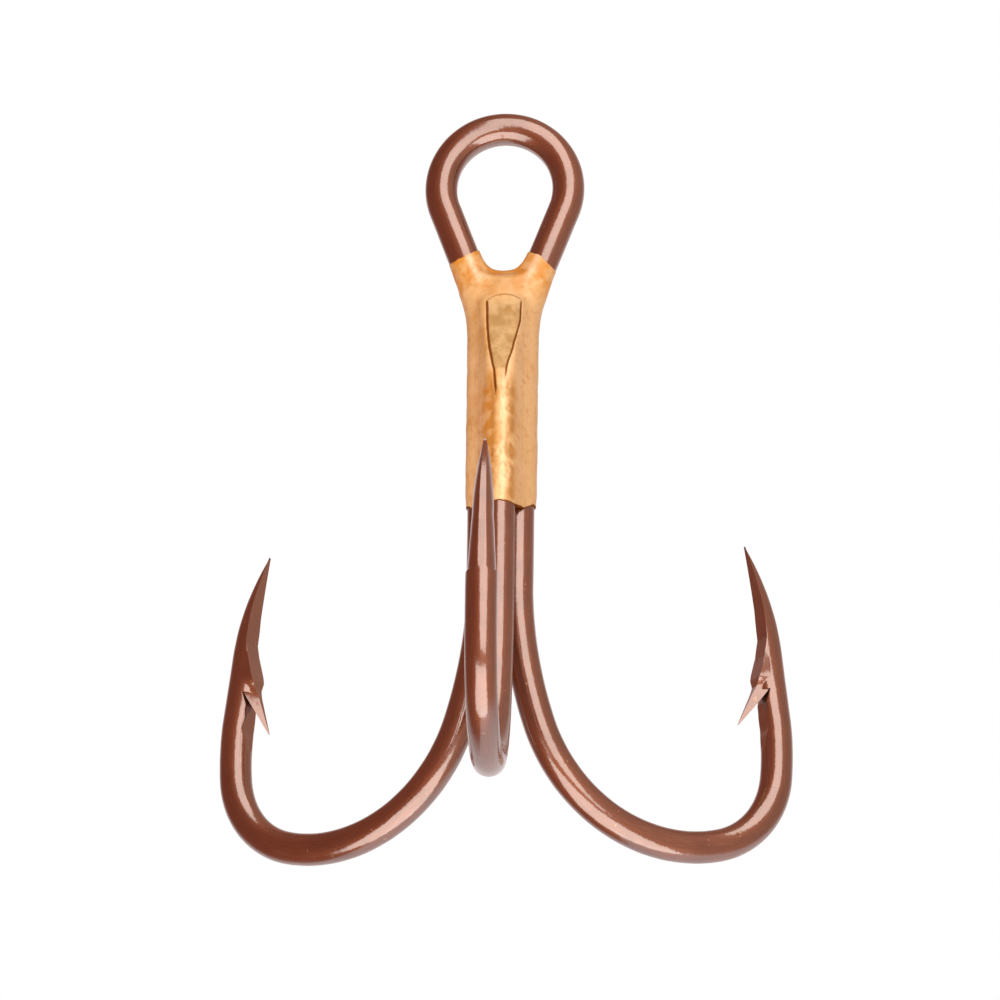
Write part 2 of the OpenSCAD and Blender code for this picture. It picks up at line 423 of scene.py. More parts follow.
def tube_faces(rings, columns):
    """Quads between neighbouring rings, and a fan of triangles over each end."""
    row, column = np.meshgrid(np.arange(rings - 1), np.arange(columns), indexing="ij")
    beside = (column + 1) % columns
    quads = np.stack([row * columns + column, row * columns + beside,
                      (row + 1) * columns + beside, (row + 1) * columns + column], axis=-1)
    faces = quads.reshape(-1, 4).tolist()
    last = (rings - 1) * columns
    for c in range(columns):
        after = (c + 1) % columns
        faces.append([rings * columns, after, c])
        faces.append([rings * columns + 1, last + c, last + after])
    return faces


def lay_uv(mesh, along, columns):
    """Gives a tube a UV map of the millimetres along it and round it."""
    around = np.arange(columns) / columns * 2 * np.pi * WIRE_R
    u = np.concatenate([np.repeat(along, columns), [along[0], along[-1]]])
    v = np.concatenate([np.tile(around, len(along)), [0, 0]])
    corners = np.empty(len(mesh.loops), dtype=np.int32)
    mesh.loops.foreach_get("vertex_index", corners)
    layer = mesh.uv_layers.new(name="UVMap")
    layer.data.foreach_set("uv", np.column_stack([u[corners], v[corners]]).ravel().astype(np.float32))


def make_outward(mesh):
    """Turns the faces over if the mesh is inside out."""
    mesh.calc_loop_triangles()
    points = np.empty(len(mesh.vertices) * 3)
    mesh.vertices.foreach_get("co", points)
    points = points.reshape(-1, 3)
    triangles = np.empty(len(mesh.loop_triangles) * 3, dtype=np.int32)
    mesh.loop_triangles.foreach_get("vertices", triangles)
    a, b, c = (points[triangles.reshape(-1, 3)[:, i]] for i in range(3))
    if np.einsum("ij,ij->i", a, np.cross(b, c)).sum() < 0:
        mesh.flip_normals()
    mesh.update()


# ---------------------------- wire: barbs

def barb_vertices(leg, length):
    """Rings of the swaged shoulder and of the barb, a sliver cut loose from below and bent inwards."""
    top, tip = SHOULDER_Z + 1.75, SHOULDER_Z - length
    near_tip = tip + np.array([0.12, 0.06, 0.02, 0])
    heights = np.concatenate([np.arange(top, tip + 0.15, -FINE_STEP), near_tip])
    reach = BARB_X - BARB_SPRING * (1 - (BARB_L - length) / RIGHT_BARB_SHORT)
    crest = np.interp(
        -heights,
        [-top, -(SHOULDER_Z + SHOULDER_MID_L), -SHOULDER_Z, -(SHOULDER_Z - 0.35), -tip],
        [GRIND_X - 0.03, SHOULDER_MID_X + 0.01, WIRE_R + 0.03, WIRE_R + 0.09, reach])
    under = np.interp(
        -heights,
        [-top, -ROOT_Z, -(tip + length * 0.36), -tip],
        [GRIND_X - 0.1, ROOT_X, WIRE_R + BARB_REACH * 0.3, reach - 0.04])
    free = np.clip((SHOULDER_Z - heights) / length, 0, 1)
    base = np.minimum(front_profile(heights), WIRE_R) * (0.97 - 0.92 * free ** 0.9)
    ridge_share = 0.94 - 0.62 * smooth_step(-SHOULDER_Z - 0.4, -ROOT_Z + 0.3, -heights)
    lift = np.concatenate([[0, 0], np.linspace(0, 1, 6), [1, 1, 1], np.linspace(1, 0, 6), [0]])
    side = np.concatenate([[0, 0.5], np.ones(6), [0.5, 0, -0.5], -np.ones(6), [-0.5]])
    half = base[:, None] * (1 + (ridge_share[:, None] - 1) * lift)
    x = under[:, None] + (crest - under)[:, None] * lift
    y = half * side
    return leg.place(x, y, np.broadcast_to(heights[:, None], x.shape))


def drop_slivers(mesh):
    """Closes up the slivers that a union leaves, and removes the loose flaps that remain."""
    edited = bmesh.new()
    edited.from_mesh(mesh)
    bmesh.ops.remove_doubles(edited, verts=edited.verts, dist=SLIVER * MM)
    bmesh.ops.dissolve_degenerate(edited, edges=edited.edges, dist=SLIVER * MM)
    flaps = [face for face in edited.faces if any(edge.is_boundary for edge in face.edges)]
    bmesh.ops.delete(edited, geom=flaps, context="FACES")
    edited.to_mesh(mesh)
    edited.free()


def add_barbs(wire, legs):
    """Unites a wire with its barbs, each given by its leg, its length and whether it is mirrored."""
    barbs = []
    for leg, length, mirrored in legs:
        vertices = barb_vertices(leg, length)
        if mirrored:
            vertices = vertices * (-1, 1, 1)
        along = np.arange(len(vertices)) * FINE_STEP
        barbs.append(new_object("barb", tube_mesh("barb", vertices, along)))
    for barb in barbs:
        cutter = wire.modifiers.new("barb", "BOOLEAN")
        cutter.operation = "UNION"
        cutter.solver = "EXACT"
        cutter.object = barb
    bpy.context.view_layer.update()
    shown = wire.evaluated_get(bpy.context.evaluated_depsgraph_get())
    united = bpy.data.meshes.new_from_object(shown)
    wire.modifiers.clear()
    wire.data = united
    for barb in barbs:
        bpy.data.objects.remove(barb)
    drop_slivers(united)
    shade_smooth(united, 30)


# ---------------------------- the two wires

def double_hook_rings():
    """Rings of the right half of the double hook, from the top of the eye to the tip."""
    shank_z = double_lo[2] + WIRE_R + hook_depth()
    lengths = [arc(EYE_R, -90 - EYE_LEAN), (EYE_LEG_L, 0), arc(NECK_R, EYE_LEAN), (NECK_Z - shank_z, 0)]
    points, headings, along = trace(0, lengths)
    eye = in_plane(points, headings, along, np.array([0, 0, EYE_R]), np.array([1.0, 0, 0]))
    crown_l = lengths[0][0]
    eye.floor = np.where(along < crown_l - 0.1, -WIRE_R + LAND_DEPTH, -FREE)
    turn = np.radians(HOOK_TURN) * smooth_step(crown_l + 8, along[-1], along)
    flat = eye.normal.copy()
    eye.normal = flat * np.cos(turn)[:, None] - eye.side * np.sin(turn)[:, None]
    eye.side = eye.side * np.cos(turn)[:, None] + flat * np.sin(turn)[:, None]
    shank = np.array([PAIR_X, 0, shank_z])
    hook = hook_rings(shank, turned_outward(), 0)
    return eye.join(hook), LegFrame(shank, turned_outward(), 0)


def turned_outward():
    """The direction in which the right-hand hook of the pair points."""
    return np.array([math.cos(math.radians(HOOK_TURN)), math.sin(math.radians(HOOK_TURN)), 0])


def draw_point(vertices, leg, amount):
    """Draws the point of this leg out by this much, above its barb."""
    from_leg = vertices - leg.start
    share = np.clip((from_leg @ leg.axis - SHOULDER_Z) / SHOULDER_DROP, 0, 1)
    share = share * (from_leg @ leg.inward < BARB_X)
    return vertices + share[..., None] * amount * leg.axis


def make_double_hook():
    """The wire with the eye: its right half is swept, and mirrored for the left one."""
    rings, leg = double_hook_rings()
    both = add_waviness(ring_vertices(rings), rings.origin)
    right = draw_point(both, leg, RIGHT_POINT_LONG)
    left = draw_point(both, leg, -LEFT_POINT_SHORT)[:0:-1] * (-1, 1, 1)
    along = np.concatenate([-rings.along[:0:-1], rings.along])
    mesh = tube_mesh("double_hook_wire", np.concatenate([left, right]), along)
    wire = new_object("double_hook_wire", mesh)
    add_barbs(wire, [(leg, BARB_L - RIGHT_BARB_SHORT, False), (leg, BARB_L, True)])
    return wire


def spade_limit(z):
    """How far the single wire reaches forwards where its head is pressed and ground away."""
    ramp_r = (HEAD_RAMP_L ** 2 + WIRE_R ** 2) / (2 * WIRE_R)
    foot = HEAD_Z - HEAD_FLAT_L - HEAD_RAMP_L
    rise = np.clip(z - foot, 0, HEAD_RAMP_L)
    limit = WIRE_R - ramp_r + np.sqrt(ramp_r ** 2 - rise ** 2)
    return np.where(z > foot, limit, FREE)


def make_single_hook():
    """The front wire, thinner and shorter where the braze hides it."""
    shank_z = single_lo[2] + WIRE_R + hook_depth()
    forward = np.array([0.0, -1.0, 0.0])
    top = HEAD_Z - HIDDEN_SHORT
    points, headings, along = trace(-90, [(top - shank_z, 0)])
    shank = in_plane(points, headings, along, np.array([0, FRONT_Y, top]), forward)
    shank.limit = spade_limit(shank.origin[:, 2])
    foot = np.array([0, FRONT_Y, shank_z])
    rings = shank.join(hook_rings(foot, forward, FRONT_SHORT))
    vertices = add_waviness(ring_vertices(rings), rings.origin)
    hidden = smooth_step(BRAZE_FOOT + 0.8, BRAZE_FOOT + 1.6, rings.origin[:, 2])[:, None, None]
    vertices = vertices + (rings.origin[:, None] - vertices) * hidden * HIDDEN_SHRINK
    wire = new_object("single_hook_wire", tube_mesh("single_hook_wire", vertices, rings.along))
    add_barbs(wire, [(LegFrame(foot, forward, FRONT_SHORT), BARB_L, False)])
    return wire


# ---------------------------- braze

GRID = 0.05
BRAZE_MARGIN = 0.6
FACE_TOP = HEAD_Z - 0.35
FACE_FOOT = FACE_TOP - 3.2
FACE_TOP_DEPTH, FACE_FOOT_DEPTH = 0.05, 0.71
TAIL_FOOT = FACE_TOP - 4.1
FACE_SHIFT = 0.11
SHOULDER_RISE = 1.15
CREST_X = 0.15
WEB_HALF, WEB_HALF_MORE = 0.38, 0.12
WEB_THICKENS_Z = -4.2, -6.5
# Marks for the material: the crease mark paints shade, and the crest and streak marks also paint
# highlights.
BRAZE_MARKS = "crease_shade", "blotch", "orange", "face", "crest", "highlight_streak", "right"


def blend_min(a, b, size):
    """The lower of two distances, rounded where they are within this of each other."""
    overlap = np.clip(size - np.abs(a - b), 0, None) / size
    return np.minimum(a, b) - overlap * overlap * size / 4


def blend_max(a, b, size):
    """The higher of two distances, rounded in the same way."""
    return -blend_min(-a, -b, size)


def pair_centre(z):
    """How far each rear wire's centre line is from the middle, and its lean, at these heights."""
    leg_foot = NECK_Z + NECK_R * math.sin(LEAN)
    rise = np.clip(z - NECK_Z, 0, NECK_R * math.sin(LEAN))
    curve = PAIR_X + NECK_R - np.sqrt(NECK_R ** 2 - rise ** 2)
    straight = np.clip(z - leg_foot, 0, None) * math.tan(LEAN)
    return curve + straight, np.arcsin(rise / NECK_R)


def face_half_width(z):
    """Half the width of the flat face on the single wire's head, and of the narrow tail below it."""
    below = FACE_TOP - z
    return np.interp(below, [0, 0.8, 1.2, 2.2, 3.2, 4.1], [0.73, 0.71, 0.66, 0.48, 0.26, 0.17])


def face_middle(z):
    """The face leans a little to the right at its top."""
    return FACE_SHIFT * smooth_step(FACE_FOOT, FACE_TOP, z)


def face_frame(points):
    """As split, with x counted from the middle of the head's face."""
    x, y, z = split(points)
    return x - face_middle(z), y, z


def face_front(z):
    """Where the head's face lies, front to back."""
    share = (FACE_TOP - z) / (FACE_TOP - FACE_FOOT)
    return FRONT_Y - FACE_TOP_DEPTH - (FACE_FOOT_DEPTH - FACE_TOP_DEPTH) * share


def rounded_triangle(x, y, apex_y):
    """Distance to the triangle of the three wires' centre lines, seen from above."""
    x = np.abs(x)
    span_x, span_y = -PAIR_X, apex_y
    share = np.clip(((x - PAIR_X) * span_x + y * span_y) / (span_x ** 2 + span_y ** 2), 0, 1)
    side = np.hypot(x - PAIR_X - share * span_x, y - share * span_y)
    back = np.hypot(np.maximum(x - PAIR_X, 0), y)
    inside = (y < 0) & (span_x * y - span_y * (x - PAIR_X) < 0)
    return np.where(inside, -np.minimum(side, np.abs(y)), np.minimum(side, back))


def braze_ends(points):
    """How far each point is below the braze's ragged upper edge and above its foot."""
    x, y, z = split(points)
    level = points * (1, 1, 0)
    ragged = 0.07 * noise(level, 0.8, 11) + 0.035 * noise(level, 0.22, 12)
    along_leg = np.abs(x) * math.sin(LEAN) + z * math.cos(LEAN)
    edge_x = pair_centre(BRAZE_TOP)[0]
    edge = edge_x * math.sin(LEAN) + BRAZE_TOP * math.cos(LEAN) + 0.1
    edge = edge - 0.11 * smooth_step(-1, 1, x) + 0.1 * np.cos(np.clip(y / WIRE_R, -1, 1) * math.pi / 2)
    outer = smooth_step(edge_x - 0.2, edge_x + 0.7, np.abs(x))
    edge = edge - outer * np.where(x > 0, 0.34, 0.16)
    rear = smooth_step(-0.9, -0.3, y)
    foot = BRAZE_FOOT - 0.12 + rear * np.where(x > 0.5, 0.32, 0.24) + ragged * 0.5
    return edge + ragged - along_leg, z - foot


def throat_web(points, centre, lumps):
    """Distance to the web of braze in the eye's throat, between the two rear wires."""
    x, y, z = split(points)
    throat = np.hypot(x, z - (WEB_R - THROAT_DROP))
    web = np.abs(y) - WEB_HALF - WEB_HALF_MORE * smooth_step(*WEB_THICKENS_Z, z) - lumps
    return np.maximum(blend_max(web, WEB_R - throat, 0.3), np.abs(x) - centre)


def filled_groove(points, rear_wire, coat):
    """Distance to the braze round all three wires, sunken between them and crested in front."""
    x, y, z = split(points)
    front_wire = np.hypot(x, y - FRONT_Y) - WIRE_R
    wires = np.minimum(rear_wire, np.maximum(front_wire, z - HEAD_Z))
    apex = FRONT_Y + (-0.35 - FRONT_Y) * smooth_step(HEAD_Z - 0.2, HEAD_Z + SHOULDER_RISE, z)
    filled = rounded_triangle(x, y, apex) - WIRE_R - coat + 0.12 * np.clip(wires - COAT, 0, 0.5)
    wander = 0.06 * noise(points * (0, 0, 1), 0.5, 51)
    crest = ridge(x - CREST_X - wander, 0.22) * smooth_step(-1.5, -1.9, y)
    crest_rise = 0.03 + 0.02 * noise(points, 0.25, 52)
    filled = filled - crest * crest_rise * smooth_step(FACE_FOOT, FACE_FOOT - 0.6, z)
    rounding = 0.25 + 0.35 * smooth_step(FACE_TOP, FACE_TOP + 0.5, z)
    filled = blend_max(filled, face_front(z) - 0.015 - y, rounding)
    return blend_max(filled, z - HEAD_Z - SHOULDER_RISE, 0.3)


def braze_distance(points):
    """Signed distance, roughly, to the braze: below zero inside it."""
    x, y, z = split(points)
    below_top, above_foot = braze_ends(points)
    lumps = 0.018 * noise(points, 1.0, 21) + 0.012 * noise(points, 0.38, 22)
    thinned = smooth_step(0, 1.6, below_top) * (0.3 + 0.7 * smooth_step(0, 0.7, above_foot))
    coat = 0.012 + (COAT - 0.02 + lumps) * thinned
    centre, lean = pair_centre(z)
    rear_wire = np.hypot((np.abs(x) - centre) * np.cos(lean), y) - WIRE_R
    body = blend_min(rear_wire - coat, throat_web(points, centre, lumps), 0.3)
    joining = 0.15 + 0.35 * smooth_step(FACE_TOP, FACE_TOP + 0.8, z)
    body = blend_min(body, filled_groove(points, rear_wire, coat), joining)
    body = cut_face(body, points) + creases(points) + pits(points)
    return blend_max(blend_max(body, -below_top, 0.03), -above_foot, 0.06)


def cut_face(body, points):
    """Cuts the head's flat face into the braze."""
    x, y, z = face_frame(points)
    hollow = 0.012 * noise(points, 0.7, 31)
    in_face = np.maximum(np.abs(x) - face_half_width(z), y - face_front(z) - hollow)
    in_face = np.maximum(in_face, np.maximum(FACE_FOOT - z, z - FACE_TOP))
    return np.maximum(body, -in_face)


def pits(points):
    """Small pits and blisters in the front of the braze."""
    x, y, z = split(points)
    rough = noise(points, 0.17, 61)
    beside = ridge(np.abs(x - 0.03) - 0.36, 0.12) * smooth_step(FACE_FOOT - 0.3, FACE_FOOT - 1.2, z)
    on_crest = ridge(x - CREST_X, 0.2) * smooth_step(FACE_FOOT - 0.5, FACE_FOOT - 1.5, z)
    deep = np.clip(rough - 0.25, 0, 1) * (0.02 + 0.07 * beside + 0.06 * on_crest)
    return deep * smooth_step(-0.9, -1.2, y)


def ridge(distance, width):
    """1 on a line and falling away from it over this width."""
    return np.exp(-(distance / width) ** 2)


def creases(points):
    """Depth of the creases down both sides of the head's face, and of the line over its end, which the
    material also darkens with painted shade.
    """
    x, y, z = face_frame(points)
    half = face_half_width(z)
    wobble = 0.03 * noise(points, 0.5, 41)
    front = smooth_step(-1.0, -1.1, y)
    top_end = smooth_step(FACE_TOP + 0.15, FACE_TOP + 0.05, z)
    left_end = smooth_step(TAIL_FOOT - 0.6, TAIL_FOOT + 0.2, z) * top_end
    right_end = smooth_step(FACE_FOOT - 0.8, FACE_FOOT + 0.1, z) * top_end
    left = 0.052 * ridge(x + half + 0.02 + wobble, 0.05) * left_end
    right = 0.042 * ridge(x - half + wobble, 0.042) * right_end
    return (left + right) * front + 0.006 * head_arch(points)


def head_arch(points):
    """1 along the line where the braze closes over the end of the head; the material paints shade along
    it.
    """
    x, y, z = face_frame(points)
    arch = FACE_TOP + 0.12 + 0.3 * np.clip(1 - (x / 0.74) ** 2, 0, 1) ** 0.7
    arch = arch - 0.03 * noise(points, 0.5, 41)
    return ridge(z - arch, 0.05) * smooth_step(0.84, 0.74, np.abs(x)) * (y < -0.4)


def crossed_cells(inside):
    """Numbers the grid's cells that the surface passes through; the others get -1."""
    cells = np.array(inside.shape) - 1
    corner_sum = np.zeros(cells, dtype=np.int8)
    for dx, dy, dz in np.ndindex(2, 2, 2):
        corner_sum += inside[dx:dx + cells[0], dy:dy + cells[1], dz:dz + cells[2]]
    active = (corner_sum > 0) & (corner_sum < 8)
    index = np.full(cells, -1, dtype=np.int64)
    index[active] = np.arange(active.sum())
    return index


def cell_points(values, place):
    """For each of these cells, the mean of the places where its edges cross zero."""
    total = np.zeros((len(place), 3))
    count = np.zeros(len(place))
    for a in np.array(list(np.ndindex(2, 2, 2))):
        for axis in np.flatnonzero(a == 0):
            b = a.copy()
            b[axis] = 1
            start = values[tuple((place + a).T)]
            finish = values[tuple((place + b).T)]
            crosses = (start < 0) != (finish < 0)
            share = np.where(crosses, start / np.where(crosses, start - finish, 1), 0)
            total[crosses] += a + share[crosses, None] * (b - a)
            count[crosses] += 1
    return place + total / count[:, None]


def cell_faces(inside, index):
    """A quad, facing out, round each grid edge that the surface crosses."""
    faces = []
    for axis in range(3):
        u, v = [i for i in range(3) if i != axis]
        if axis == 1:
            u, v = v, u
        here = [slice(1, -1)] * 3
        here[axis] = slice(0, -1)
        there = list(here)
        there[axis] = slice(1, None)
        flip = inside[tuple(here)] != inside[tuple(there)]
        edges = np.argwhere(flip)
        edges[:, u] += 1
        edges[:, v] += 1
        outward = inside[tuple(edges.T)]
        quad = []
        for du, dv in ((-1, -1), (0, -1), (0, 0), (-1, 0)):
            cell = edges.copy()
            cell[:, u] += du
            cell[:, v] += dv
            quad.append(index[tuple(cell.T)])
        quad = np.stack(quad, axis=1)
        faces.append(np.where(outward[:, None], quad, quad[:, ::-1]))
    return np.concatenate(faces)


def surface_net(values, low, spacing):
    """A closed quad mesh where a grid of signed distances crosses zero."""
    inside = values < 0
    index = crossed_cells(inside)
    points = low + cell_points(values, np.argwhere(index >= 0)) * spacing
    return points, cell_faces(inside, index)


def gradient(points, reach=0.01):
    """The direction in which the braze's distance grows, by small differences."""
    slope = np.empty_like(points)
    for axis in range(3):
        ahead, behind = points.copy(), points.copy()
        ahead[:, axis] += reach
        behind[:, axis] -= reach
        slope[:, axis] = (braze_distance(ahead) - braze_distance(behind)) / (2 * reach)
    return slope


def settle(points):
    """Moves vertices onto the braze's surface."""
    for _ in range(2):
        slope = gradient(points)
        size = np.maximum((slope ** 2).sum(axis=1), 0.25)
        move = slope * (braze_distance(points) / size)[:, None]
        points = points - np.clip(move, -0.03, 0.03)
    return points


def make_braze():
    """The braze, as one closed surface that the wires run through."""
    low, high = collar_lo - BRAZE_MARGIN, collar_hi + BRAZE_MARGIN
    axes = [np.arange(a, b, GRID) for a, b in zip(low, high)]
    grid = np.stack(np.meshgrid(*axes, indexing="ij"), axis=-1)
    points, faces = surface_net(braze_distance(grid), low, GRID)
    points = settle(points)
    mesh = bpy.data.meshes.new("braze_joint")
    mesh.from_pydata((points * MM).tolist(), [], faces.tolist())
    mark_braze(mesh, points)
    make_outward(mesh)
    shade_smooth(mesh, 60)
    return new_object("braze_joint", mesh)


def mark_braze(mesh, points):
    """Stores BRAZE_MARKS: how strongly each vertex has each mark that the material colours."""
    x, y, z = points.T
    _, above_foot = braze_ends(points)
    # Painted shade: darkening in the creases and along the line over the head's end, and a dark line along
    # the braze's foot that is partly oxide and partly painted shade.
    lip = ridge(above_foot, 0.05)
    dark = np.maximum(creases(points) / 0.05, 0.4 * head_arch(points))
    add_attribute(mesh, "crease_shade", np.maximum(dark, lip))
    front = smooth_step(-0.9, -1.3, y)
    below_head = smooth_step(FACE_FOOT, FACE_FOOT - 1, z)
    beside = (ridge(x - 0.53, 0.16) + ridge(x + 0.3, 0.15)) * front * below_head
    add_attribute(mesh, "blotch", beside)
    near_top = smooth_step(HEAD_Z - 0.3, BRAZE_TOP - 0.6, z)
    left_of_ridge = ridge(x + 0.45, 0.45) * below_head
    add_attribute(mesh, "orange", np.clip(near_top + left_of_ridge, 0, 1))
    across = np.abs(x - face_middle(z)) - face_half_width(z)
    on_face = smooth_step(0.03, -0.03, across) * smooth_step(FACE_FOOT - 0.1, FACE_FOOT + 0.1, z)
    on_face = on_face * (y < face_front(z) + 0.1) * smooth_step(FACE_TOP + 0.35, FACE_TOP - 0.1, z)
    add_attribute(mesh, "face", on_face)
    # The crest mark makes the crest smoother and glossier, and also carries a painted highlight.
    wander = 0.08 * noise(points * (0, 0, 1), 0.6, 71)
    add_attribute(mesh, "crest", ridge(x - CREST_X + wander, 0.27) * front * below_head)
    # The streak mark paints a highlight where the eye legs' highlights run on into the braze, and makes
    # the braze glossier there.
    highlight_streak = ridge(np.abs(x) - pair_centre(z)[0] + 0.2, 0.16) * smooth_step(HEAD_Z + 0.4, HEAD_Z + 1.4, z)
    add_attribute(mesh, "highlight_streak", highlight_streak * (y < 0))
    add_attribute(mesh, "right", smooth_step(0.4, 0.7, x) * smooth_step(HEAD_Z + 0.4, HEAD_Z - 0.6, z))


def add_attribute(mesh, name, values):
    """Stores one number for each vertex, for the material to read."""
    layer = mesh.attributes.new(name, "FLOAT", "POINT")
    layer.data.foreach_set("value", np.asarray(values, dtype=np.float32))


# ---------------------------- materials

class Tree:
    """Short ways to build a node tree."""

    def __init__(self, owner):
        owner.use_nodes = True
        self.tree = owner.node_tree
        self.tree.nodes.clear()

    def add(self, kind, settings=None, **inputs):
        """A node of this kind; an input may be a value or another node's output."""
        made = self.tree.nodes.new("ShaderNode" + kind)
        for key, value in (settings or {}).items():
            setattr(made, key, value)
        for key, value in inputs.items():
            self.put(made.inputs[key.replace("_", " ")], value)
        return made

    def put(self, socket, value):
        """Links a socket to another node's output, or sets its value."""
        if isinstance(value, bpy.types.NodeSocket):
            self.tree.links.new(value, socket)
        else:
            socket.default_value = value

    def math(self, operation, *values):
        """The result of an operation on values or other nodes' outputs."""
        made = self.tree.nodes.new("ShaderNodeMath")
        made.operation = operation
        for socket, value in zip(made.inputs, values):
            self.put(socket, value)
        return made.outputs[0]

    def mix(self, share, first, second, blend="MIX"):
        """A mix of two colours."""
        made = self.tree.nodes.new("ShaderNodeMix")
        made.data_type = "RGBA"
        made.blend_type = blend
        for socket, value in zip((made.inputs[0], made.inputs[6], made.inputs[7]), (share, first, second)):
            self.put(socket, value)
        return made.outputs[2]

    def smooth(self, value, low, high):
        """0 below low, 1 above high, and a smooth rise between."""
        made = self.add("MapRange", {"interpolation_type": "SMOOTHSTEP"}, Value=value)
        self.put(made.inputs["From Min"], low)
        self.put(made.inputs["From Max"], high)
        return made.outputs[0]

    def ramp(self, share, *stops):
        """A share turned into a value by straight lines between stops of (place, value)."""
        made = self.tree.nodes.new("ShaderNodeValToRGB")
        self.put(made.inputs[0], share)
        ramp = made.color_ramp
        while len(ramp.elements) < len(stops):
            ramp.elements.new(1)
        for element, (place, value) in zip(ramp.elements, stops):
            element.position = place
            element.color = (value, value, value, 1) if isinstance(value, (int, float)) else value
        return made.outputs[0]

    def noise(self, scale, detail, vector):
        """Noise with this many features to the metre, or to the unit of the vector."""
        return self.add("TexNoise", Scale=scale, Detail=detail, Roughness=0.5, Vector=vector).outputs[0]


def rgb(r, g, b):
    """An opaque colour from its linear red, green and blue."""
    return (r, g, b, 1)


BRONZE_DEEP, BRONZE_WARM = rgb(0.19, 0.05, 0.019), rgb(0.25, 0.074, 0.031)
BRONZE_BLOTCH = rgb(0.13, 0.035, 0.014)
PALE_LINE, DARK_LINE = rgb(0.36, 0.15, 0.09), rgb(0.1, 0.025, 0.01)
BRIGHT_NICK = rgb(0.62, 0.42, 0.3)
LACQUER_IOR = 2.4

BRASS_DEEP, BRASS_PALE = rgb(0.59, 0.36, 0.135), rgb(0.72, 0.49, 0.25)
BRASS_ORANGE = rgb(0.57, 0.24, 0.028)
BRASS_RIGHT = rgb(0.6, 0.4, 0.2)
FACE_PALE, FACE_OLIVE = rgb(0.52, 0.36, 0.17), rgb(0.33, 0.2, 0.06)
# Painted highlight along the braze's crest.
PAINTED_CREST_HIGHLIGHT = rgb(0.78, 0.55, 0.27)
# Painted highlight where the eye legs' highlights run on into the braze.
PAINTED_STREAK_HIGHLIGHT = rgb(0.95, 0.7, 0.5)
BROWN_SPOT, FINE_SPOT = rgb(0.38, 0.17, 0.03), rgb(0.47, 0.21, 0.045)
# Painted shade for the creases, the line over the head's end and the braze's foot.
PAINTED_CREASE_SHADE = rgb(0.15, 0.04, 0.004)

BOARD_DEEP, BOARD_PALE = rgb(0.68, 0.83, 0.9), rgb(0.71, 0.86, 0.93)


def bronze_colour(t, place, blotch, lines, nicks):
    """Uneven brown bronze with fine pale and dark lines along the wire and a few bright nicks."""
    broad = t.noise(260, 3, place)
    colour = t.mix(t.ramp(broad, (0.35, 0), (0.65, 1)), BRONZE_DEEP, BRONZE_WARM)
    colour = t.mix(t.ramp(blotch, (0.5, 0), (0.8, 0.5)), colour, BRONZE_BLOTCH)
    colour = t.mix(t.ramp(lines, (0.5, 0), (0.72, 0.5)), colour, PALE_LINE)
    colour = t.mix(t.ramp(lines, (0.28, 0.6), (0.42, 0)), colour, DARK_LINE)
    return t.mix(nicks, colour, BRIGHT_NICK)


def bronze_material():
    """Bronzed wire under clear lacquer that is thinner at the nicks."""
    material = bpy.data.materials.new("bronzed_wire")
    t = Tree(material)
    place = t.add("TexCoord").outputs["Object"]
    uv = t.add("TexCoord").outputs["UV"]
    blotch = t.noise(1100, 4, place)
    stretched = t.add("Mapping", None, Vector=uv, Scale=(0.35, 9, 1)).outputs[0]
    lines = t.noise(3, 3, stretched)
    nicks = t.ramp(t.noise(3100, 1, place), (0.76, 0), (0.78, 0.6))
    colour = bronze_colour(t, place, blotch, lines, nicks)
    rough = t.ramp(blotch, (0.3, 0.45), (0.7, 0.55))
    height = t.math("ADD", t.math("MULTIPLY", lines, 0.5), t.math("MULTIPLY", blotch, 0.5))
    bump = t.add("Bump", None, Strength=0.1, Distance=0.00002, Height=height).outputs[0]
    coat_rough = t.ramp(blotch, (0.3, 0.09), (0.75, 0.19))
    grain = t.math("ADD", t.noise(3800, 2, place), t.math("MULTIPLY", blotch, 2.0))
    lacquer = t.add("Bump", None, Strength=0.4, Distance=0.000014, Height=grain).outputs[0]
    shader = t.add("BsdfPrincipled", None, Base_Color=colour, Metallic=1.0, Roughness=rough, Normal=bump)
    t.put(shader.inputs["Coat Weight"], t.math("MULTIPLY_ADD", nicks, -0.8, 1.0))
    t.put(shader.inputs["Coat IOR"], LACQUER_IOR)
    t.put(shader.inputs["Coat Normal"], lacquer)
    t.put(shader.inputs["Coat Roughness"], coat_rough)
    t.add("OutputMaterial", None, Surface=shader.outputs[0])
    return material


def braze_patches(t, marks, broad, medium):
    """Brass with its broad colours: orange parts, olive face and pale right side, with painted highlights
    on the crest and the streaks.
    """
    colour = t.mix(t.ramp(broad, (0.35, 0), (0.65, 1)), BRASS_DEEP, BRASS_PALE)
    patches = t.math("MULTIPLY_ADD", marks["orange"], 0.9, t.ramp(medium, (0.5, 0), (0.7, 0.35)))
    warm = t.math("MULTIPLY", patches, t.ramp(medium, (0.38, 0.2), (0.56, 1)))
    colour = t.mix(warm, colour, BRASS_ORANGE)
    colour = t.mix(t.math("MULTIPLY", marks["right"], 0.75), colour, BRASS_RIGHT)
    olive = t.mix(t.ramp(medium, (0.4, 0), (0.6, 1)), FACE_PALE, FACE_OLIVE)
    colour = t.mix(t.math("MULTIPLY", marks["face"], 0.85), colour, olive)
    # Painted highlight along the crest of the braze.
    pale = t.math("MULTIPLY", marks["crest"], t.ramp(medium, (0.35, 1), (0.6, 0.45)))
    colour = t.mix(pale, colour, PAINTED_CREST_HIGHLIGHT)
    # Painted highlight on the streaks below the eye's legs.
    return t.mix(t.math("MULTIPLY", marks["highlight_streak"], 0.5), colour, PAINTED_STREAK_HIGHLIGHT)


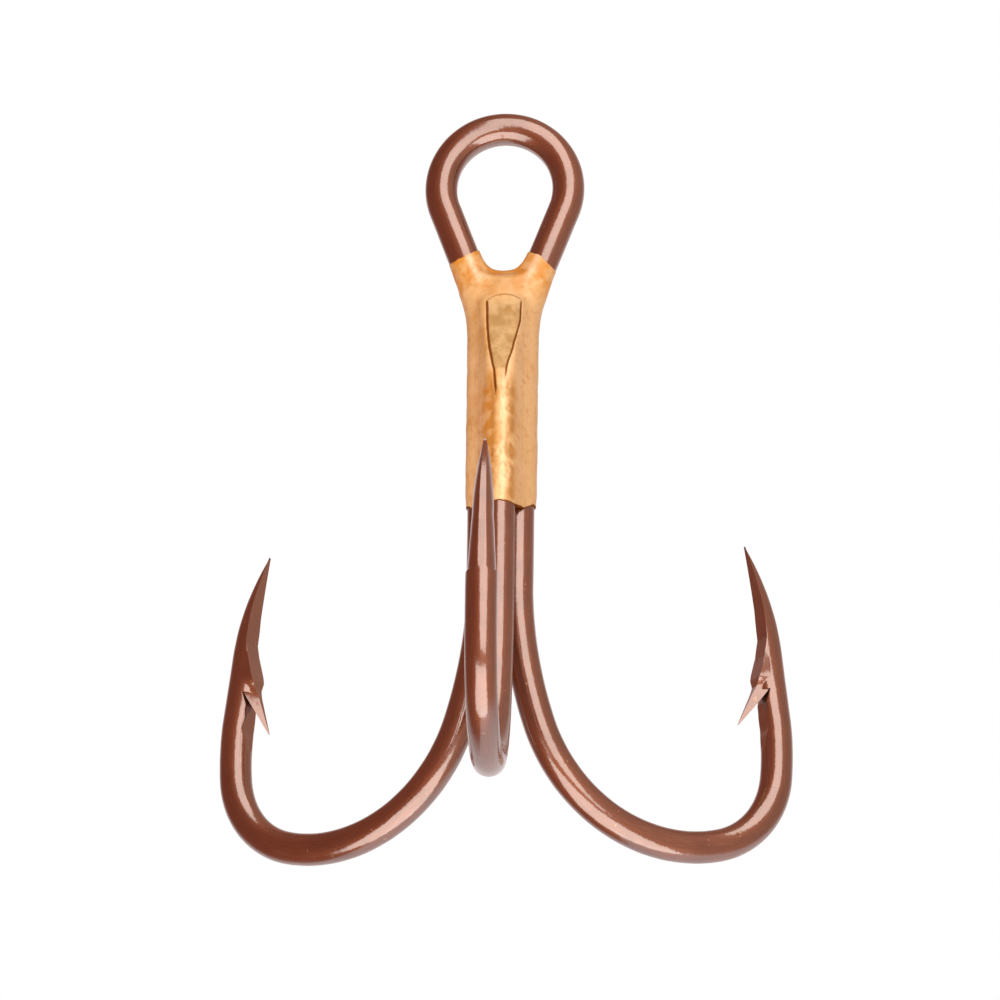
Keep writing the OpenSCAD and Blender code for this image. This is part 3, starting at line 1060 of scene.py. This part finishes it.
def braze_spots(t, marks, medium, fine, colour):
    """Adds the brown spots, the fine spots, and painted shade in the creases, over the head's end and
    along the foot, to the brass.
    """
    spots = t.math("MULTIPLY", marks["blotch"], t.ramp(medium, (0.36, 0.15), (0.52, 1)))
    colour = t.mix(t.math("MULTIPLY", spots, 0.9), colour, BROWN_SPOT)
    colour = t.mix(t.ramp(fine, (0.54, 0), (0.72, 0.55)), colour, FINE_SPOT)
    # Painted shade in the creases, over the head's end and along the foot.
    return t.mix(t.ramp(marks["crease_shade"], (0.1, 0), (0.6, 0.97)), colour, PAINTED_CREASE_SHADE)


def braze_material():
    """Satin brass filler, glossier on its crest and streaks, duller on its face and in its creases."""
    material = bpy.data.materials.new("brass_braze")
    t = Tree(material)
    place = t.add("TexCoord").outputs["Object"]
    broad = t.noise(650, 3, place)
    medium = t.noise(1700, 3, place)
    fine = t.noise(4200, 4, place)
    marks = {name: t.add("Attribute", {"attribute_name": name}).outputs["Fac"] for name in BRAZE_MARKS}
    colour = braze_spots(t, marks, medium, fine, braze_patches(t, marks, broad, medium))
    smoother = t.math("MULTIPLY", marks["crest"], 0.15)
    rough = t.math("SUBTRACT", t.ramp(fine, (0.3, 0.42), (0.7, 0.58)), smoother)
    rough = t.math("MULTIPLY_ADD", marks["face"], 0.25, rough)
    bump = t.add("Bump", None, Strength=0.3, Distance=0.00003, Height=fine).outputs[0]
    shader = t.add("BsdfPrincipled", None, Base_Color=colour, Metallic=0.1, Roughness=rough, Normal=bump)
    shine = t.math("MULTIPLY_ADD", t.math("ADD", marks["crest"], marks["highlight_streak"]), 0.4, 0.3)
    shine = t.math("MULTIPLY", shine, t.math("MULTIPLY_ADD", marks["face"], -0.85, 1.0))
    shine = t.math("MULTIPLY", shine, t.ramp(marks["crease_shade"], (0.1, 1), (0.5, 0)))
    t.put(shader.inputs["Coat Weight"], shine)
    t.put(shader.inputs["Specular IOR Level"], t.ramp(marks["crease_shade"], (0.1, 0.5), (0.5, 0)))
    t.put(shader.inputs["Coat IOR"], 1.7)
    t.put(shader.inputs["Coat Roughness"], 0.22)
    t.add("OutputMaterial", None, Surface=shader.outputs[0])
    return material


def floor_material():
    """Pale matt board, cool enough to look grey in the warm light; it can't be seen from below."""
    material = bpy.data.materials.new("pale_floor")
    t = Tree(material)
    from_below = t.add("NewGeometry").outputs["Backfacing"]
    grain = t.noise(900, 3, t.add("TexCoord").outputs["Object"])
    colour = t.mix(grain, BOARD_DEEP, BOARD_PALE)
    board = t.add("BsdfDiffuse", None, Color=colour).outputs[0]
    clear = t.add("BsdfTransparent").outputs[0]
    mixed = t.add("MixShader", None, Fac=from_below)
    t.put(mixed.inputs[1], board)
    t.put(mixed.inputs[2], clear)
    t.add("OutputMaterial", None, Surface=mixed.outputs[0])
    return material


# ---------------------------- stage

VIEW_AZIMUTH, VIEW_ELEVATION, VIEW_ROLL = 3.3, -19.09, 0.718
VIEW_DISTANCE = 1.5
VIEW_WIDTH = 0.04308
AIM_RIGHT, AIM_UP = 0.000142, -0.00241
FLOOR_SIZE = 0.6
LEFT_COLOUR = rgb(0.37, 0.13, 0.08)
RIGHT_COLOUR = rgb(0.57, 0.34, 0.25)
BACKDROP_COLOUR = rgb(0.92, 0.84, 0.84)
WHITE = rgb(1, 1, 1)
SIDES_EDGE = -0.7, 0.9
BACKDROP_EDGE = 0.5, 0.92
LOW_EDGE = -0.35, -0.02
LOW_SHARE = -0.9
SOFTBOX_COLOUR = (0.97, 0.94, 0.87)
SOFTBOX_DISTANCE = 0.3
UPPER_SOFTBOX = {"azimuth": 19, "elevation": 27, "width": 0.27, "height": 0.6, "power": 1.1}
LOWER_SOFTBOX = {"azimuth": 4, "elevation": -62, "width": 0.44, "height": 0.33, "power": 1.1}
FRONT_FILL = {"azimuth": -30, "elevation": -10, "width": 0.3, "height": 0.3, "power": 0.5}


def direction(azimuth, elevation):
    """Towards a viewer who looks along +Y at azimuth 0 from this far above the horizon."""
    a, e = math.radians(azimuth), math.radians(elevation)
    return Vector((math.sin(a) * math.cos(e), -math.cos(a) * math.cos(e), math.sin(e)))


def make_camera(middle):
    """A long-lens camera that looks up at the object from below, slightly rolled."""
    back = direction(VIEW_AZIMUTH, VIEW_ELEVATION)
    right = Vector((0, 0, 1)).cross(back).normalized()
    up = back.cross(right)
    roll = math.radians(VIEW_ROLL)
    level_right, level_up = right, up
    right = level_right * math.cos(roll) + level_up * math.sin(roll)
    up = level_up * math.cos(roll) - level_right * math.sin(roll)
    data = bpy.data.cameras.new("camera")
    data.sensor_width = 36
    data.lens = data.sensor_width * VIEW_DISTANCE / VIEW_WIDTH
    data.clip_start, data.clip_end = 0.1, 20
    camera = new_object("camera", data)
    aim = middle + right * AIM_RIGHT + up * AIM_UP
    turn = Matrix((right, up, back)).transposed().to_4x4()
    camera.matrix_world = Matrix.Translation(aim + back * VIEW_DISTANCE) @ turn
    bpy.context.scene.camera = camera


def make_floor(low_z):
    """A square board under the object; it casts no shadow, bounces no light and isn't reflected."""
    half = FLOOR_SIZE / 2
    mesh = bpy.data.meshes.new("floor")
    corners = [(-half, -half, low_z), (half, -half, low_z), (half, half, low_z), (-half, half, low_z)]
    mesh.from_pydata(corners, [], [(0, 1, 2, 3)])
    mesh.materials.append(floor_material())
    floor = new_object("floor", mesh)
    floor.visible_glossy = floor.visible_diffuse = floor.visible_shadow = False
    floor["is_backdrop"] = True


def add_softbox(name, middle, azimuth, elevation, width, height, power, mirrored=True):
    """A soft rectangular light that faces the object; one that isn't mirrored adds no highlight."""
    data = bpy.data.lights.new(name, "AREA")
    data.shape = "RECTANGLE"
    data.size, data.size_y = width, height
    data.energy = power
    data.color = SOFTBOX_COLOUR
    light = new_object(name, data)
    towards = direction(azimuth, elevation)
    light.location = middle + towards * SOFTBOX_DISTANCE
    light.rotation_euler = towards.to_track_quat("Z", "Y").to_euler()
    light.visible_camera = False
    light.visible_glossy = mirrored


def make_world():
    """White to the camera; to the object, pale behind it and low on its right, and dim elsewhere."""
    world = bpy.data.worlds.new("studio")
    bpy.context.scene.world = world
    t = Tree(world)
    parts = t.add("SeparateXYZ", None, Vector=t.add("TexCoord").outputs["Generated"])
    beside = t.smooth(parts.outputs["X"], *SIDES_EDGE)
    room = t.mix(beside, LEFT_COLOUR, RIGHT_COLOUR)
    low = t.math("MAXIMUM", t.math("MULTIPLY", parts.outputs["Z"], LOW_SHARE), 0.0)
    low = t.math("MULTIPLY", low, t.smooth(parts.outputs["X"], *LOW_EDGE))
    behind = t.smooth(t.math("ADD", parts.outputs["Y"], low), *BACKDROP_EDGE)
    colour = t.mix(behind, room, BACKDROP_COLOUR)
    lit = t.add("Background", None, Color=colour, Strength=1.0).outputs[0]
    seen = t.add("Background", None, Color=WHITE, Strength=1.0).outputs[0]
    mixed = t.add("MixShader", None, Fac=t.add("LightPath").outputs["Is Camera Ray"])
    t.put(mixed.inputs[1], lit)
    t.put(mixed.inputs[2], seen)
    t.add("OutputWorld", None, Surface=mixed.outputs[0])


# ---------------------------- the object and its stage

def dress(piece, node, material):
    """Gives a piece its material and its body, and hides the CAD node that it replaces."""
    piece.data.materials.clear()
    piece.data.materials.append(material)
    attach(piece, "root")
    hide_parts(node)


bronze = bronze_material()
dress(make_double_hook(), "double_hook", bronze)
dress(make_single_hook(), "single_hook", bronze)
dress(make_braze(), "braze_collar", braze_material())

bpy.context.view_layer.update()
middle = (cad_bounds[0] + cad_bounds[1]) / 2
make_camera(middle)
make_floor(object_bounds()[0].z)
make_world()
add_softbox("upper_softbox", middle, **UPPER_SOFTBOX)
add_softbox("lower_softbox", middle, **LOWER_SOFTBOX)
add_softbox("front_fill", middle, **FRONT_FILL, mirrored=False)
bpy.context.scene.view_settings.view_transform = "Standard"
